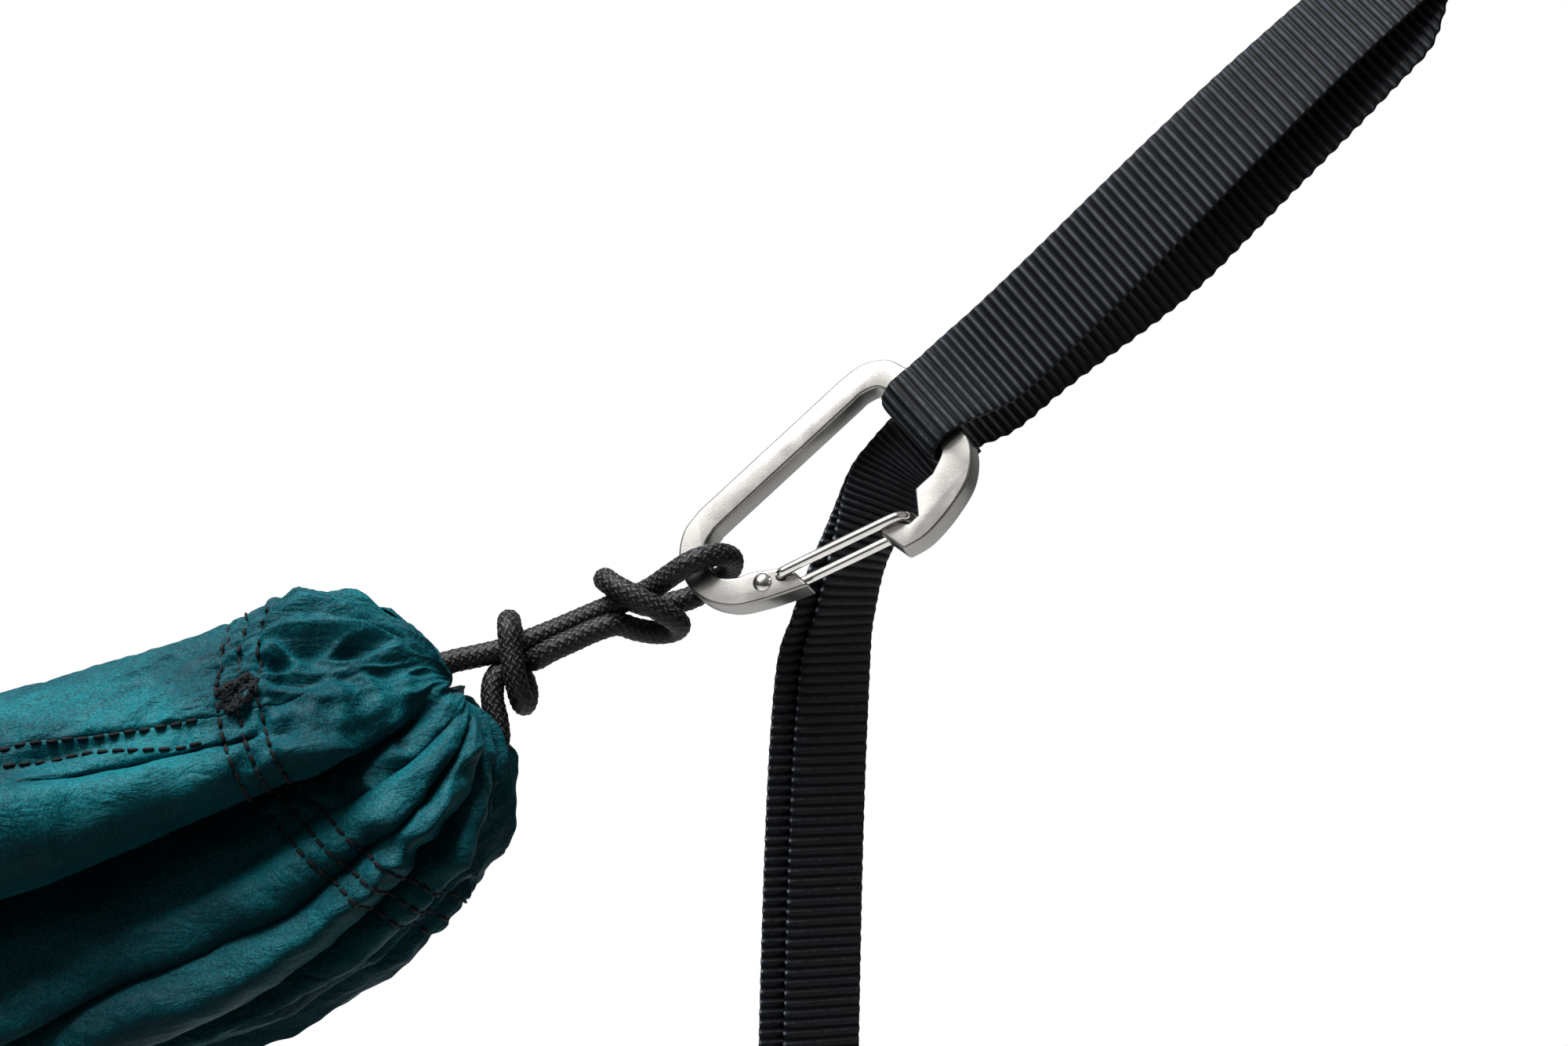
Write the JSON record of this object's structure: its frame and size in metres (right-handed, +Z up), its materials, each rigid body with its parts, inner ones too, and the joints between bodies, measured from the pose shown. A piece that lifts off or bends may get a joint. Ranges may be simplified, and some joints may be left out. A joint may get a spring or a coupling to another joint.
{
  "type": "camping hammock",
  "caption": "Gathered-end nylon camping hammock, hung, with a braided cord loop, wire-gate carabiner and looped webbing strap at each end.",
  "frame": {"origin": "middle of the line between the two straps' end eyes", "axes": "+X along the hammock towards the end in the picture, +Y across it, +Z up"},
  "size_m": [3.2714, 0.6612, 0.8838],
  "materials": {
    "nylon": "satin woven nylon",
    "cord": "braided",
    "webbing": "ribbed woven",
    "thread": "dense stitching",
    "steel": "satin faces, polished edges",
    "wire": "polished wire"
  },
  "bodies": {
    "hammock": {"front_side_panel": "nylon", "centre_panel": "nylon", "back_side_panel": "nylon", "end_channel_right": "nylon", "end_cord_right": "cord", "end_channel_left": "nylon", "end_cord_left": "cord"},
    "carabiner_right": {"carabiner_body_right": "steel", "gate_rivet_right": "steel"},
    "gate_right": {"wire_gate_right": "wire"},
    "strap_right": {"strap_front_webbing_right": "webbing", "strap_back_webbing_right": "webbing", "strap_bar_tack_right": "thread"},
    "tail_right": {"tail_front_webbing_right": "webbing", "tail_back_webbing_right": "webbing", "tail_bar_tack_right": "thread"},
    "carabiner_left": {"carabiner_body_left": "steel", "gate_rivet_left": "steel"},
    "gate_left": {"wire_gate_left": "wire"},
    "strap_left": {"strap_front_webbing_left": "webbing", "strap_back_webbing_left": "webbing", "strap_bar_tack_left": "thread"},
    "tail_left": {"tail_front_webbing_left": "webbing", "tail_back_webbing_left": "webbing", "tail_bar_tack_left": "thread"}
  },
  "joints": [
    {"name": "carabiner_swing_right", "type": "hinge", "parent": "hammock", "child": "carabiner_right", "pos_m": [1.35, 0, -0.2332], "axis": [-0.2866, -0.9063, 0.3106], "range_deg": [-15, 40]},
    {"name": "gate_open_right", "type": "hinge", "parent": "carabiner_right", "child": "gate_right", "pos_m": [1.36336, -0.00625, -0.23912], "axis": [-0.2866, -0.9063, 0.3106], "range_deg": [0, 26], "stiffness_Nm_per_rad": 0.2, "springref_deg": -17.19},
    {"name": "strap_swing_right", "type": "hinge", "parent": "carabiner_right", "child": "strap_right", "pos_m": [1.40011, -0.00338, -0.19682], "axis": [0.5945, -0.4228, -0.684], "range_deg": [-5, 35]},
    {"name": "tail_swing_right", "type": "hinge", "parent": "strap_right", "child": "tail_right", "pos_m": [1.39637, 0.00659, -0.20623], "axis": [0.5945, -0.4228, -0.684], "range_deg": [0, 35]},
    {"name": "carabiner_swing_left", "type": "hinge", "parent": "hammock", "child": "carabiner_left", "pos_m": [-1.35, 0, -0.2332], "axis": [-0.2866, 0.9063, -0.3106], "range_deg": [-15, 40]},
    {"name": "gate_open_left", "type": "hinge", "parent": "carabiner_left", "child": "gate_left", "pos_m": [-1.36336, -0.00625, -0.23912], "axis": [-0.2866, 0.9063, -0.3106], "range_deg": [0, 26], "stiffness_Nm_per_rad": 0.2, "springref_deg": -17.19},
    {"name": "strap_swing_left", "type": "hinge", "parent": "carabiner_left", "child": "strap_left", "pos_m": [-1.40011, -0.00338, -0.19682], "axis": [0.5945, 0.4228, 0.684], "range_deg": [-5, 35]},
    {"name": "tail_swing_left", "type": "hinge", "parent": "strap_left", "child": "tail_left", "pos_m": [-1.39637, 0.00659, -0.20623], "axis": [0.5945, 0.4228, 0.684], "range_deg": [0, 35]}
  ]
}
